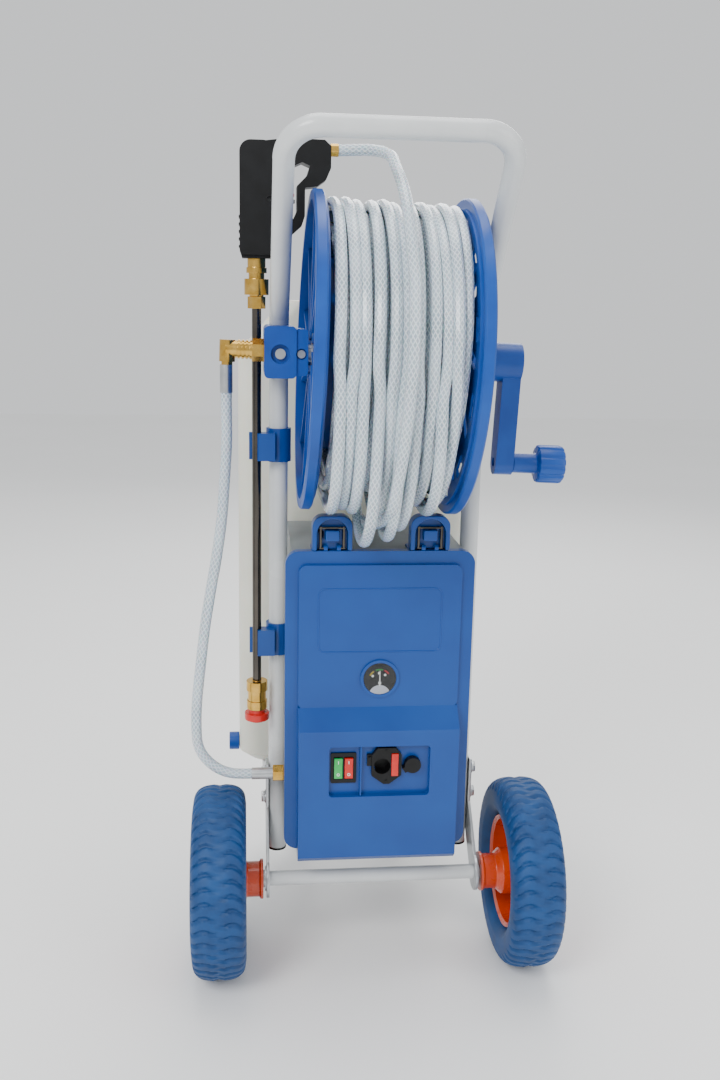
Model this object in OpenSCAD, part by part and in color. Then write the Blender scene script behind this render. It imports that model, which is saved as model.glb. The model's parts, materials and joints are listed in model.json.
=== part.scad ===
// Hand-cart pressure washer: bent-tube trolley, hose reel, pump box, water tank, gun and lance.
// +X is the right-hand side as the user faces the controls, +Y points away from the user,
// +Z is up. The origin is on the floor, at the middle of the footprint.

/* [Frame] */
// Outside diameter of the frame tube
tube_d = 25; // [19:1:32]
// Wall thickness of the frame tube
tube_wall = 1.6; // [1.2:0.2:2.5]
// Distance between the centres of the two uprights
upright_gap = 263; // [250:1:330]
// Height of the handle bar's centreline
handle_h = 1106; // [1070:1:1330]
// Height at which the uprights bend towards the user
bend_h = 880; // [870:1:900]
// Lean of the handle from the vertical, in degrees
handle_lean = 40; // [20:1:50]
// Centreline radius of the handle's two upper corners
corner_r = 42; // [36:1:60]
// Diameter of the axle's cross tube
axle_tube_d = 20; // [18:1:22]
// Thickness of the steel bracket plates
plate_t = 4; // [3:0.5:6]

/* [Wheels] */
// Outside diameter of the tyre
wheel_d = 260; // [220:1:312]
// Width of the tyre
wheel_w = 72; // [60:1:86]
// Distance between the middle planes of the two wheels
track = 425; // [415:1:510]
// Diameter of the wheel rim at the bead
rim_d = 154; // [130:1:180]
// Diameter of the axle rod
axle_d = 16; // [12:1:17]

/* [Reel] */
// Height of the reel's axis
reel_h = 851; // [840:1:870]
// Outside diameter of the reel's flanges
flange_d = 396; // [330:1:410]
// Width of the reel over both flanges
reel_w = 202; // [170:1:206]
// Width of each flange's outer hoop
hoop_w = 14; // [10:1:18]
// Radial thickness of the hoop
hoop_t = 13; // [8:1:16]
// Number of spokes on each flange
spokes = 12; // [8:1:16]
// Diameter of the drum that the hose is wound on
drum_d = 240; // [180:1:260]
// Diameter of the hollow reel shaft
shaft_d = 20; // [16:1:22]
// Droop of the reel's right-hand end, in degrees
reel_lean = 2; // [0:0.5:2.5]
// Distance from the reel's axis to the crank knob
crank_r = 130; // [100:1:150]

/* [Hose] */
// Outside diameter of the delivery and feed hoses
hose_d = 14; // [12:1:16]

/* [Pump box] */
// Width of the box's housing
housing_w = 230; // [196:1:232]
// Height of the housing's top face
housing_top = 597; // [592:1:600]
// Wall thickness of the housing
housing_wall = 3; // [2:0.5:4]
// Width of the front cover
cover_w = 249; // [240:1:300]
// Height of the cover's upper edge
cover_top = 603; // [600:1:606]
// Height of the cover's lower edge
cover_bottom = 184; // [180:1:190]
// Wall thickness of the cover
cover_wall = 3; // [2:0.5:4]
// Diameter of the battery gauge
gauge_d = 46; // [40:1:56]

/* [Tank] */
// Width of the water tank
tank_w = 360; // [300:1:370]
// Depth of the water tank
tank_depth = 134; // [110:1:160]
// Height of the tank's main body
tank_body_h = 636; // [560:1:650]
// Wall thickness of the tank
tank_wall = 3; // [2:0.5:5]

/* [Gun and lance] */
// Diameter of the lance tube
lance_d = 12; // [10:1:14]
// Distance between the lance's centre and the left upright's centre, along X
lance_gap = 29; // [28:1:34]

/* [Hidden] */
$fn = 48;

// Depths are measured from the axle; axle_y puts the footprint's middle on the origin.
// The reel's axis lies behind the axle by reel_behind.
handle_back = tan(handle_lean) * (handle_h - bend_h);
upright_back = 62;
tank_front = 216;
tank_back = tank_front + tank_depth;
bar_front = upright_back - handle_back - tube_d / 2;
reel_behind = 12;
axle_y = -(tank_back + min(bar_front, -wheel_d / 2, reel_behind - flange_d / 2)) / 2;

wheel_r = wheel_d / 2;
tube_r = tube_d / 2;
upright_x = upright_gap / 2;
upright_y = axle_y + upright_back;
upright_bottom = 148;
sleeve_z = reel_h;
bend_r = 70;
bend_swell = 0.2;
bend_lap = 2;
bend_room = 0.3;
bend_start = bend_h - bend_r * tan(handle_lean / 2);
handle_y = upright_y - handle_back;

// Reel
reel_y = axle_y + reel_behind;
flange_r = flange_d / 2;
web_t = 3;
web_x = reel_w / 2 - hoop_w;
hub_r = 34;
drum_r = drum_d / 2;
shaft_r = shaft_d / 2;
shaft_bore = 10;
run_gap = 0.05;
block_w = 40;
block_z = 64;
block_front = reel_y - 24;
block_back = upright_y + tube_r + 8;
block_top = reel_h + 36;
inner_block_w = 16.5;
inner_block_x = reel_w / 2 - hoop_w + 18.25;
screw_head_d = 13;
crank_t = 24;
crank_hub_x = upright_x + 6.5;
crank_x = upright_x + block_w / 2 + 2;
knob_neck = 33;
knob_head = 36;
knob_d = 50;

// Hose
hose_r = hose_d / 2;
winding_r = 158;
winding_gap = 1;
loose_r = 190;
loose_w = 2 * web_x - 10;
// Slack turns gather in a bulge below the front of the reel: its centre and radius
sag_y = -108;
sag_z = -146;
sag_r = 70;

// Pump box
// The housing narrows if the clips' rings, of this wall, would touch it
clip_wall = 4;
housing_x = min(housing_w / 2, upright_x - tube_r - clip_wall);
housing_front = axle_y - 4;
housing_back = axle_y + 205;
housing_bottom = 190;
cover_x = cover_w / 2;
cover_front = axle_y - 18;
cover_back = housing_front - 1;
cover_panel = cover_front - 6;
cover_box_front = axle_y - 48;
cover_mid = (cover_top + cover_bottom) / 2;
cover_h = cover_top - cover_bottom;
box_w = 214;
box_top = 391;
box_bottom = 177;
box_step = 366;
recess_w = 135;
recess_h = 71;
recess_x = 1;
recess_z = 308.5;
recess_depth = 9;
recess_y = cover_box_front + recess_depth;
divider_x = -24;
switch_x = -46.8;
switch_w = 34;
switch_h = 43;
switch_z = 312;
rocker_w = 11;
rocker_h = 29;
rocker_pin_r = 1.2;
rocker_pin_out = 0.3;
socket_x = 10.5;
socket_w = 40;
socket_h = 51;
socket_z = 315;
socket_rocker_x = 21.5;
knob_x = 45.5;
knob_z = 316;
flow_knob_r = 11;
gauge_z = 431;
gauge_x = 1;
hinge_y = housing_front - 8;
hinge_z = box_bottom + 6;
hinge_r = 2.5;
ear_x = 83;
ear_t = 3;
ear_gap = 1;
latch_x = 64;
latch_w = 52;
latch_h = 46;
latch_front = cover_front;
latch_mid = cover_front + 10;
latch_back = axle_y + 4;
latch_foot = cover_top + 0.5;
bail_y = cover_front + 4;
bail_z = cover_top + 3;
bail_w = 30;
bail_h = 27;
bail_d = 3.4;

// Tank
tank_x = -6;
tank_y = axle_y + tank_front + tank_depth / 2;
tank_bottom = 203;
tank_corner = 34;
shoulder_h = 78;
neck_r = 48;
neck_h = 14;
cap_r = 56;
cap_h = 24;
cap_lift = 0.4;
drain_r = 14;
spout_r = drain_r - 4.6;
drain_y = axle_y + 262;
drain_z = 225;

// Shelf behind the uprights
shelf_x = 75;
shelf_d = 20;
shelf_z = housing_bottom - shelf_d / 2;
foot_h = 18;
foot_r = 16;
shelf_back = axle_y + tank_back - foot_r - 1;

// Gun and lance
lance_x = -upright_x - lance_gap;
lance_y = axle_y + 45;
lance_r = lance_d / 2;
lance_bottom = 404;
lance_top = 922;
gun_z = 967;
gun_t = 30;
trigger_x = lance_x + 16;
trigger_z = 1040;
trigger_pin_r = 3;
latch_pin_r = 1.6;
catch_x = trigger_x + 14;
catch_z = trigger_z + 1;
clip_zs = [731, 463];
clip_h = 44;
swivel_x = -upright_x - block_w / 2;
seat_depth = 0.6;
seat_r = 15;
outlet_z = 279;
outlet_y = axle_y + 20;

// Axle
hub_in = 60;
hub_out = 18;
hub_tube_r = 24;
bracket_x = upright_x + tube_r;
bracket_top_z = 196;
washer_r = 17;
rim_r = rim_d / 2;

// Feed hose: from the elbow's ferrule, down in a slack bow, to the outlet fitting
feed_route = [[-199, 12, 803], [-199, 12, 780], [-199, 10, 740], [-202, 8, 690], [-206, 6, 640],
    [-213, 5, 590], [-221, 4, 545], [-229, 4, 495], [-235, 5, 445], [-240, 7, 400],
    [-242, 9, 370], [-242, 11, 341], [-240, 13, 325], [-234, 15, 310], [-224, 17, 297],
    [-211, 18, 287], [-196, 19, 281], [-180, 20, 279], [-168, 20, 279]];
// Tail of the delivery hose: from the top of the loose turns up and left to the gun's inlet
tail_route = [[8, -132, 1003], [6, -112, 1024], [3, -86, 1046], [-1, -56, 1066], [-6, -24, 1083],
    [-13, 6, 1096], [-22, 28, 1103], [-34, 41, 1104], [-46, 45, 1102], [-58.5, 45, 1102]];

// ---- helpers ----

// Rounded rectangle, centred
module round_rect(w, h, r) {
    square([w - 2 * r, h], center = true);
    square([w, h - 2 * r], center = true);
    for (sx = [-1, 1], sz = [-1, 1])
        translate([sx * (w / 2 - r), sz * (h / 2 - r)]) circle(r);
}

// Plate that stands in XZ, from y0 to y1, of the outline given as children
module stand(y0, y1) {
    translate([0, y1, 0]) rotate([90, 0, 0]) linear_extrude(y1 - y0) children();
}

// Plate that stands in YZ, from x0 to x1; the outline's first axis is Y
module side(x0, x1) {
    translate([x0, 0, 0]) rotate([90, 0, 90]) linear_extrude(x1 - x0) children();
}

// Bar along X
module xbar(r, x0, x1) {
    translate([x0, 0, 0]) rotate([0, 90, 0]) cylinder(r = r, h = x1 - x0);
}

// Bar along Y
module ybar(r, y0, y1) {
    translate([0, y1, 0]) rotate([90, 0, 0]) cylinder(r = r, h = y1 - y0);
}

// Solid of revolution about X; the outline is given as [radius, x]
module xturn() {
    rotate([0, 90, 0]) rotate_extrude() children();
}

// The reel's own frame: its axis is local X
module on_reel() {
    translate([0, reel_y, reel_h]) rotate([0, reel_lean, 0]) children();
}

// Hexagonal bar along X
module xhex(af, x0, x1) {
    translate([x0, 0, 0]) rotate([0, 90, 0]) cylinder(d = af / cos(30), h = x1 - x0, $fn = 6);
}

// Hexagonal bar along Z
module zhex(af, z0, z1) {
    translate([0, 0, z0]) cylinder(d = af / cos(30), h = z1 - z0, $fn = 6);
}

// Directions and rings for a swept cord
function unit(v) = v / norm(v);
function heading(p, i) =
    unit(p[min(i + 1, len(p) - 1)] - p[max(i - 1, 0)]);
function first_side(t) =
    let (a = abs(t.z) < 0.9 ? [0, 0, 1] : [0, 1, 0]) unit(cross(t, a));
function carry(s, t) = unit(s - (s * t) * t);
function sides_of(p) = [for (i = 0, s = first_side(heading(p, 0)); i < len(p);
    i = i + 1, s = i < len(p) ? carry(s, heading(p, i)) : s) s];

// Cord swept along a list of points, given from the axle's depth
module cord(route, d, n = 10) {
    p = [for (q = route) q + [0, axle_y, 0]];
    s = sides_of(p);
    points = [for (i = [0 : len(p) - 1], k = [0 : n - 1])
        let (t = heading(p, i), u = s[i], v = cross(t, u), a = 360 * k / n)
            p[i] + d / 2 * (cos(a) * u + sin(a) * v)];
    skin = [for (i = [0 : len(p) - 2], k = [0 : n - 1])
        let (a = i * n + k, b = i * n + (k + 1) % n) [a, a + n, b + n, b]];
    ends = [[for (k = [0 : n - 1]) k], [for (k = [n - 1 : -1 : 0]) (len(p) - 1) * n + k]];
    polyhedron(points, concat(skin, ends), convexity = 8);
}

// ---- frame ----

module upright(s) {
    color("gainsboro") difference() {
        translate([s * upright_x, upright_y, upright_bottom])
            cylinder(r = tube_r, h = sleeve_z - upright_bottom);
        translate([s * upright_x, upright_y, upright_bottom - 1])
            cylinder(r = tube_r - tube_wall, h = sleeve_z - upright_bottom + 2);
    }
}

module upright_left() upright(-1);
module upright_right() upright(1);

// The bend above each bearing block, of radius r
module bow_bend(s, r) {
    translate([s * upright_x, upright_y - bend_r, bend_start]) rotate([90, 0, 90])
        rotate_extrude(angle = handle_lean) translate([bend_r, 0]) circle(r);
}

// One leg of the handle; the tube swells a hair in its bends and each length runs into them
module bow_leg(s) {
    cut = bend_h - bend_start;
    slope = norm([handle_back, handle_h - bend_h]);
    fat = tube_r + bend_swell;
    translate([s * upright_x, upright_y, sleeve_z])
        cylinder(r = tube_r, h = bend_start - sleeve_z + bend_lap);
    bow_bend(s, fat);
    translate([s * upright_x, upright_y, bend_h]) rotate([handle_lean, 0, 0]) {
        translate([0, 0, cut - bend_lap])
            cylinder(r = tube_r, h = slope - cut - corner_r + 2 * bend_lap);
        translate([-s * corner_r, 0, slope - corner_r]) rotate([90, 0, s > 0 ? 0 : 180])
            rotate_extrude(angle = 90) translate([corner_r, 0]) circle(fat);
    }
}

module handle_bow() {
    bar = upright_x - corner_r + bend_lap;
    color("gainsboro") {
        bow_leg(-1);
        bow_leg(1);
        translate([0, handle_y, handle_h]) xbar(tube_r, -bar, bar);
    }
}

// Plastic plugs in the uprights' lower ends
module tube_caps() {
    color("dimgray") for (s = [-1, 1]) translate([s * upright_x, upright_y, upright_bottom]) {
        translate([0, 0, -3]) cylinder(r = tube_r + 0.5, h = 3);
        cylinder(r = tube_r - tube_wall, h = 14);
    }
}

module lower_crossbar() {
    color("gainsboro") translate([0, upright_y, shelf_z])
        xbar(shelf_d / 2, -upright_x + tube_r, upright_x - tube_r);
}

// ---- axle and wheels ----

module axle_tube() {
    color("gainsboro") translate([0, axle_y, wheel_r]) difference() {
        xbar(axle_tube_d / 2, -bracket_x, bracket_x);
        xbar(axle_d / 2, -bracket_x - 1, bracket_x + 1);
    }
}

// Link plate from the upright down and forward to the axle
module axle_bracket(s) {
    reach = [upright_y - axle_y, bracket_top_z - wheel_r];
    run = norm(reach);
    color("silver") scale([s, 1, 1]) translate([0, axle_y, wheel_r]) difference() {
        side(bracket_x, bracket_x + plate_t) {
            circle(26);
            translate(reach) circle(20);
            rotate(atan2(reach.y, reach.x)) translate([0, -20]) square([run, 40]);
            translate(reach - [11, 0]) square([22, 82]);
        }
        xbar(axle_d / 2, bracket_x - 1, bracket_x + plate_t + 1);
    }
}

module axle_bracket_left() mirror([1, 0, 0]) axle_bracket(1);
module axle_bracket_right() axle_bracket(1);

module axle_rod() {
    end = track / 2 + hub_out + 14;
    color("silver") translate([0, axle_y, wheel_r]) xbar(axle_d / 2, -end, end);
}

// Washers between each bracket and its wheel's hub
module axle_washers() {
    x0 = bracket_x + plate_t;
    x1 = track / 2 - hub_in - 0.3;
    color("dimgray") for (s = [-1, 1]) translate([0, axle_y, wheel_r]) scale([s, 1, 1])
        difference() {
            union() {
                xbar(washer_r, x0, x0 + (x1 - x0) / 2);
                xbar(washer_r - 5, x0, x1);
            }
            xbar(axle_d / 2, x0 - 1, x1 + 1);
        }
}

module axle_nuts() {
    x0 = track / 2 + hub_out + 0.3;
    color("silver") for (s = [-1, 1]) translate([0, axle_y, wheel_r]) scale([s, 1, 1])
        difference() {
            xhex(24, x0, x0 + 11);
            xbar(axle_d / 2, x0 - 1, x0 + 12);
        }
}

// Tyre outline: flat tread, rounded shoulders, drawn as [radius, x]
module tyre_outline() {
    bead = rim_r + 1;
    half = wheel_w / 2;
    polygon(concat([[bead, -half * 0.72], [bead + 14, -half * 0.94]],
        [for (a = [-80 : 20 : 80]) [wheel_r - 26 + 26 * pow(cos(a), 0.7), half * sin(a) / sin(80)]],
        [[bead + 14, half * 0.94], [bead, half * 0.72]]));
}

module tyre(s) {
    color("royalblue") translate([s * track / 2, axle_y, wheel_r]) xturn() tyre_outline();
}

module tyre_left() tyre(-1);
module tyre_right() tyre(1);

// Pressed-steel rim: a dished disc on a stepped hub barrel that reaches inboard
module rim(s) {
    lip = wheel_w * 0.36;
    color("orangered") translate([s * track / 2, axle_y, wheel_r]) scale([-s, 1, 1]) difference() {
        xturn() polygon([[axle_d / 2 + run_gap, -hub_out], [hub_tube_r, -hub_out],
            [hub_tube_r, -4], [rim_r - 6, -4], [rim_r - 6, -lip + 3], [rim_r, -lip],
            [rim_r, lip], [rim_r - 6, lip - 3], [rim_r - 6, 2], [hub_tube_r + 8, 2],
            [hub_tube_r + 8, hub_in - 30], [hub_tube_r, hub_in - 22], [hub_tube_r, hub_in - 5],
            [hub_tube_r + 3, hub_in - 4], [hub_tube_r + 3, hub_in],
            [axle_d / 2 + run_gap, hub_in]]);
        for (a = [0 : 72 : 359]) rotate([a, 0, 0]) translate([0, 0, (hub_tube_r + 8 + rim_r) / 2])
            xbar(5, -5, 3);
    }
}

module rim_left() rim(-1);
module rim_right() rim(1);

// ---- shelf and stand behind the uprights ----

module shelf_frame() {
    z_leg = foot_h - 4;
    color("gainsboro") {
        for (s = [-1, 1]) {
            translate([s * shelf_x, 0, shelf_z])
                ybar(shelf_d / 2, upright_y + shelf_d / 2, shelf_back);
            translate([s * shelf_x, shelf_back, z_leg])
                cylinder(r = shelf_d / 2, h = shelf_z - z_leg);
        }
        for (y = [shelf_back, axle_y + tank_front + 16])
            translate([0, y, shelf_z]) xbar(shelf_d / 2, -shelf_x - 60, shelf_x + 60);
        translate([tank_x, tank_y, shelf_z + shelf_d / 2 - 1])
            linear_extrude(tank_bottom - housing_bottom + 1)
                round_rect(tank_w * 0.8, tank_depth - 14, 12);
    }
}

module stand_feet() {
    color("dimgray") for (s = [-1, 1]) translate([s * shelf_x, shelf_back, 0]) difference() {
        cylinder(r = foot_r, h = foot_h + 16);
        translate([0, 0, foot_h - 4]) cylinder(r = shelf_d / 2, h = 40);
    }
}

// ---- reel ----

// Block that clamps one upright and carries the shaft in front of it
module bearing_block(s) {
    color("royalblue") difference() {
        union() {
            translate([s * upright_x, 0, block_top - block_z / 2])
                stand(block_front, block_back) round_rect(block_w, block_z, 6);
            translate([s * inner_block_x, 0, block_top - block_z / 2])
                stand(block_front + 3, reel_y + 24) round_rect(inner_block_w, block_z - 6, 5);
        }
        translate([s * upright_x, upright_y, 0]) cylinder(r = tube_r, h = handle_h);
        bow_bend(s, tube_r + bend_swell + bend_room);
        on_reel() xbar(shaft_r + run_gap, -upright_gap, upright_gap);
        if (s < 0) on_reel() xbar(seat_r, swivel_x - 5, swivel_x + seat_depth);
        translate([s * upright_x, 0, reel_h + 2]) ybar(12, block_front - 1, block_front + 8);
        translate([s * inner_block_x, 0, reel_h + 2]) ybar(7, block_front - 1, block_front + 8);
        if (s > 0) translate([crank_hub_x - 1, block_front - 1, 0])
            cube([block_w, upright_y - tube_r - 2 - block_front, handle_h]);
    }
}

module bearing_block_left() bearing_block(-1);
module bearing_block_right() bearing_block(1);

module bearing_screws() {
    color("silver") for (s = [-1, 1]) {
        translate([s * (s > 0 ? upright_x - 7 : upright_x), 0, reel_h + 2])
            ybar(screw_head_d / 2 - (s > 0 ? 2 : 0), block_front + 4, block_front + 8);
        translate([s * inner_block_x, 0, reel_h + 2]) ybar(5, block_front + 5, block_front + 8);
    }
}

module reel_shaft() {
    color("silver") on_reel() difference() {
        xbar(shaft_r, swivel_x + seat_depth + 0.4, crank_x + crank_t - 4);
        xbar(shaft_bore / 2, swivel_x - 1, crank_x + crank_t - 30);
    }
}

module reel_drum() {
    color("royalblue") on_reel() difference() {
        xbar(drum_r, -web_x + web_t, web_x - web_t);
        for (s = [-1, 1]) xbar(drum_r - 4, s > 0 ? 2 : -web_x, s > 0 ? web_x : -2);
        xbar(shaft_r, -reel_w, reel_w);
    }
    color("royalblue") on_reel() difference() {
        xbar(shaft_r + 8, -web_x + web_t, web_x - web_t);
        xbar(shaft_r, -reel_w, reel_w);
    }
}

// Flange: hoop, spoked web, hub and slots behind the hoop
module flange(s) {
    slot_r = flange_r - hoop_t - 14;
    color("royalblue") on_reel() scale([s, 1, 1]) difference() {
        union() {
            xturn() polygon([[flange_r - hoop_t, reel_w / 2 - hoop_w], [flange_r - 2, reel_w / 2 - hoop_w],
                [flange_r, reel_w / 2 - hoop_w + 2], [flange_r, reel_w / 2 - 2],
                [flange_r - 2, reel_w / 2], [flange_r - hoop_t, reel_w / 2]]);
            xbar(flange_r - hoop_t + 1, web_x - web_t, web_x);
            xbar(hub_r, web_x - web_t, web_x + 4);
            for (a = [0 : 360 / spokes : 359]) rotate([a, 0, 0])
                translate([web_x, -2.5, hub_r - 4]) rotate([18, 0, 0])
                    cube([7, 5, (flange_r - hoop_t - hub_r) * 1.02]);
        }
        xbar(shaft_r, 0, reel_w);
        for (a = [0 : 360 / spokes : 359]) rotate([a + 180 / spokes, 0, 0]) {
            translate([web_x - web_t - 1, -15, slot_r - 8]) cube([web_t + 2, 30, 14]);
        }
        for (a = [0 : 360 / spokes : 359]) rotate([a, 0, 0])
            translate([web_x - web_t - 1, 8, drum_r + 12]) rotate([18, 0, 0])
                cube([web_t + 2, 14, 34]);
    }
}

module flange_left() flange(-1);
module flange_right() flange(1);

module crank_arm() {
    color("royalblue") on_reel() difference() {
        union() {
            xbar(hub_r - 9, crank_hub_x, crank_x + crank_t);
            translate([crank_x, -16, -crank_r]) cube([crank_t, 32, crank_r]);
            translate([0, 0, -crank_r]) xbar(16, crank_x, crank_x + crank_t);
        }
        xbar(shaft_r, crank_hub_x - 1, crank_x + crank_t - 4);
        translate([0, 0, -crank_r]) xbar(6 + run_gap, crank_x - 1, crank_x + crank_t + 1);
    }
}

module crank_knob() {
    x0 = crank_x + crank_t + 0.3;
    x1 = x0 + knob_neck;
    x2 = x1 + knob_head;
    color("royalblue") on_reel() translate([0, 0, -crank_r]) union() {
        xbar(6, crank_x + 2, x0 + 1);
        xturn() polygon([[0, x0], [13, x0], [13, x1 - 3], [knob_d / 2 - 3, x1], [knob_d / 2, x1 + 3],
            [knob_d / 2, x2 - 4], [knob_d / 2 - 4, x2], [0, x2]]);
    }
}

// ---- hose on the reel ----

// Inner turns, wound tight on the drum; they turn with the reel
module hose_winding() {
    color("whitesmoke") on_reel() xturn() polygon([[drum_r, -web_x + web_t + 0.5],
        [winding_r, -web_x + web_t + 0.5], [winding_r, web_x - web_t - 0.5],
        [drum_r, web_x - web_t - 0.5]]);
}

// Outline of the slack outer turns: round over the top, bulging down at the front
module loose_outline() {
    difference() {
        union() {
            circle(loose_r);
            translate([sag_y, sag_z]) circle(sag_r);
        }
        circle(winding_r + winding_gap);
    }
}

module hose_loose() {
    color("whitesmoke") on_reel() side(-loose_w / 2, loose_w / 2) loose_outline();
}

module hose_tail() {
    color("whitesmoke") cord(tail_route, hose_d);
}

// ---- water connections ----

// Brass swivel between the reel's shaft and the elbow
module swivel_joint() {
    color("goldenrod") on_reel() {
        difference() {
            union() {
                xhex(25, swivel_x - 15, swivel_x + seat_depth);
                xbar(10.5, swivel_x - 34, swivel_x - 15);
                for (k = [0 : 3]) xbar(12, swivel_x - 33 + 5 * k, swivel_x - 30 + 5 * k);
            }
            xbar(shaft_bore / 2, swivel_x - 35, swivel_x + 2);
        }
    }
}

module elbow() {
    color("goldenrod") on_reel() {
        xbar(11, swivel_x - 48, swivel_x - 34);
        translate([swivel_x - 46, 0, -16]) cylinder(r = 10, h = 27);
        translate([swivel_x - 46, 0, -22]) cylinder(r = 7, h = 8);
    }
    color("silver") {
        translate([-199, axle_y + 12, 803]) cylinder(r = hose_r + 1, h = 35);
    }
}

module feed_hose() {
    color("whitesmoke") cord(feed_route, hose_d);
}

// Hex nut in the housing's side, with the crimped ferrule of the feed hose
module outlet_fitting() {
    color("goldenrod") translate([0, outlet_y, outlet_z]) xhex(21, -housing_x - 24, -housing_x - 9);
    color("goldenrod") translate([0, outlet_y, outlet_z]) xbar(7, -housing_x - 9, -housing_x + 12);
    color("silver") translate([0, outlet_y, outlet_z]) xbar(hose_r + 1, -168, -housing_x - 24);
}

// ---- pump box ----

module housing() {
    h = housing_top - housing_bottom;
    color("darkgray") difference() {
        translate([-housing_x, housing_front, housing_bottom])
            cube([2 * housing_x, housing_back - housing_front, h]);
        translate([-housing_x + housing_wall, housing_front - 1, housing_bottom + housing_wall])
            cube([2 * (housing_x - housing_wall), housing_back - housing_front - housing_wall + 1,
                h - 2 * housing_wall]);
        translate([0, outlet_y, outlet_z]) xbar(7, -housing_x - 1, -housing_x + housing_wall + 1);
    }
}

module battery() {
    color("dimgray") {
        translate([-100, axle_y + 70, housing_bottom + housing_wall]) cube([200, 100, 150]);
        for (s = [-1, 1]) translate([s * 70, axle_y + 95, housing_bottom + housing_wall + 150])
            cylinder(r = 7, h = 12);
    }
}

// Diaphragm pump and its motor on the battery's shelf
module pump() {
    z = 430;
    color("dimgray") translate([0, axle_y + 110, z]) {
        xbar(38, -60, 20);
        xbar(46, -95, -60);
        xbar(34, 20, 90);
    }
    color("dimgray") translate([-housing_x + housing_wall, axle_y + 66, z - 52])
        cube([2 * (housing_x - housing_wall), 88, 8]);
}

module control_board() {
    color("green") translate([-60, axle_y + 178, 450]) cube([120, 2, 80]);
    color("green") for (x = [-50, 50], z = [458, 522]) translate([x, 0, z])
        ybar(3, axle_y + 180, housing_back - housing_wall);
    color("dimgray") for (x = [-40, 0, 36]) translate([x - 10, axle_y + 160, 470])
        cube([20, 18, 30]);
}

// Slope that carries the cover's panel forward to the lower box, as [y, z]
module box_profile() {
    polygon([[cover_back, box_top], [cover_panel, box_top], [cover_box_front, box_step],
        [cover_box_front, box_bottom + 8], [cover_box_front + 8, box_bottom],
        [cover_back, box_bottom]]);
}

module front_cover() {
    w = cover_wall;
    color("royalblue") difference() {
        union() {
            translate([0, 0, cover_mid]) stand(cover_front, cover_back)
                round_rect(cover_w, cover_h, 18);
            translate([0, 0, (565 + 391) / 2 + 9]) stand(cover_panel, cover_front + 2)
                round_rect(box_w, 580 - 391 + 8, 10);
            side(-box_w / 2, box_w / 2) box_profile();
            for (s = [-1, 1], t = [-1, 1])
                translate([s * latch_x + t * 8.5, 0, 0])
                    side(-2.5, 2.5) translate([bail_y, bail_z]) circle(4);
        }
        translate([0, 0, cover_mid]) stand(cover_front + w, cover_back + 1)
            round_rect(cover_w - 2 * w, cover_h - 2 * w, 15);
        translate([0, 0, (565 + 391) / 2 + 9]) stand(cover_panel + w, cover_front + w + 1)
            round_rect(box_w - 2 * w, 580 - 391 + 8 - 2 * w, 8);
        side(-box_w / 2 + w, box_w / 2 - w) polygon([[cover_back + 1, box_top - 4],
            [cover_panel + w, box_top - 4], [cover_box_front + recess_depth + w + 1, box_step - 2],
            [cover_box_front + recess_depth + w + 1, recess_z - recess_h / 2 - 4],
            [cover_box_front + w, recess_z - recess_h / 2 - 5],
            [cover_box_front + w, box_bottom + 9], [cover_box_front + 9, box_bottom + w],
            [cover_back + 1, box_bottom + w]]);
        translate([recess_x, 0, recess_z]) stand(cover_box_front - 1, recess_y)
            round_rect(recess_w, recess_h, 5);
        translate([gauge_x, 0, gauge_z]) ybar(gauge_d / 2 - 2, cover_panel - 1, cover_front + 8);
        translate([switch_x, 0, switch_z]) stand(recess_y - 1, recess_y + 9)
            square([switch_w - 4, switch_h - 4], center = true);
        translate([socket_x, 0, socket_z]) stand(recess_y - 1, recess_y + 9)
            circle(16);
        translate([knob_x, 0, knob_z]) ybar(4, recess_y - 1, recess_y + 9);
        for (s = [-1, 1]) translate([0, bail_y, bail_z])
            xbar(bail_d / 2 + run_gap, s * latch_x - 19, s * latch_x + 19);
        for (s = [-1, 1]) translate([s * ear_x - ear_t / 2 - ear_gap, hinge_y - 6, box_bottom - 1])
            cube([ear_t + 2 * ear_gap, 20, cover_wall + 4]);
    }
    color("royalblue") difference() {
        for (s = [-1, 1]) {
            translate([0, hinge_y, hinge_z]) xbar(6, s * 95 - 8, s * 95 + 8);
            translate([s * 95 - 8, hinge_y - 5, box_bottom]) cube([16, 10, hinge_z - box_bottom]);
        }
        translate([0, hinge_y, hinge_z]) xbar(hinge_r + run_gap, -cover_w, cover_w);
    }
}

// Hinge pin along the cover's lower edge, with its two ears on the housing
module cover_pin() {
    color("silver") {
        translate([0, hinge_y, hinge_z]) xbar(hinge_r, -103, 103);
        for (s = [-1, 1]) translate([s * ear_x, 0, 0]) side(-ear_t / 2, ear_t / 2)
            polygon([[hinge_y - 4, hinge_z - 4], [hinge_y + 4, hinge_z - 4],
                [housing_front, housing_bottom], [housing_front, housing_bottom + 14],
                [hinge_y - 4, hinge_z + 5]]);
    }
}

// Plates above the cover whose noses take the wire bails
module latch_plates() {
    z1 = cover_top + latch_h;
    mid = (latch_foot + z1) / 2;
    color("royalblue") for (s = [-1, 1]) translate([s * latch_x, 0, 0]) {
        difference() {
            union() {
                translate([0, 0, mid]) stand(latch_front, latch_mid + 1) latch_face(z1 - latch_foot);
                translate([0, 0, mid]) stand(latch_mid, latch_back) latch_face(z1 - latch_foot);
            }
            translate([0, 0, bail_z + 19]) stand(latch_front - 1, latch_mid) {
                circle(20);
                translate([-20, -25]) square([40, 25]);
            }
        }
        translate([-9, latch_front - 1, bail_z + 10]) cube([18, latch_mid - latch_front + 2, 14]);
        translate([-latch_w / 2, housing_front, housing_top])
            cube([latch_w, latch_back - housing_front, latch_foot - housing_top + 1]);
        translate([-latch_w / 2, housing_front, housing_top]) cube([latch_w, 36, 5]);
    }
}

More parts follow.
